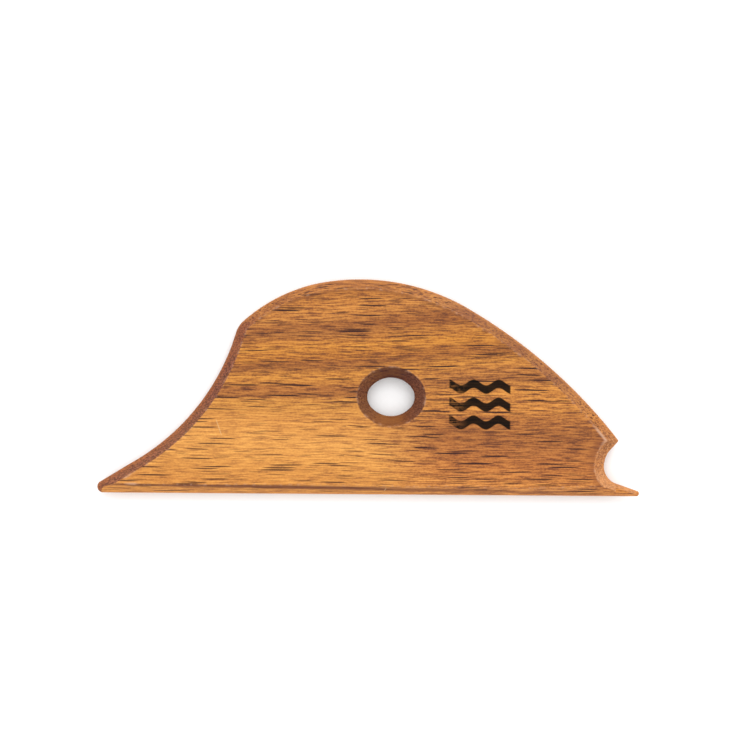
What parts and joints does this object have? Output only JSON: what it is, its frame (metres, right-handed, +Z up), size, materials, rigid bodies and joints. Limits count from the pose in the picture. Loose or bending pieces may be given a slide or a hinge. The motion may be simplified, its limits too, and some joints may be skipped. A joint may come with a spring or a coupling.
{
  "type": "pottery shaping rib",
  "caption": "Flat wooden pottery rib with a crowned back, a long tip, a hooked spur, an oval finger hole and bevelled edges.",
  "frame": {"origin": "middle of the board's footprint, on the face it rests on", "axes": "+X along the straight edge towards the spur, +Y from the straight edge towards the crest, +Z up through the thickness"},
  "size_m": [0.152, 0.0603, 0.0064],
  "materials": {
    "hardwood": "oiled"
  },
  "bodies": {
    "root": {"shaping_rib": "hardwood"}
  },
  "joints": []
}
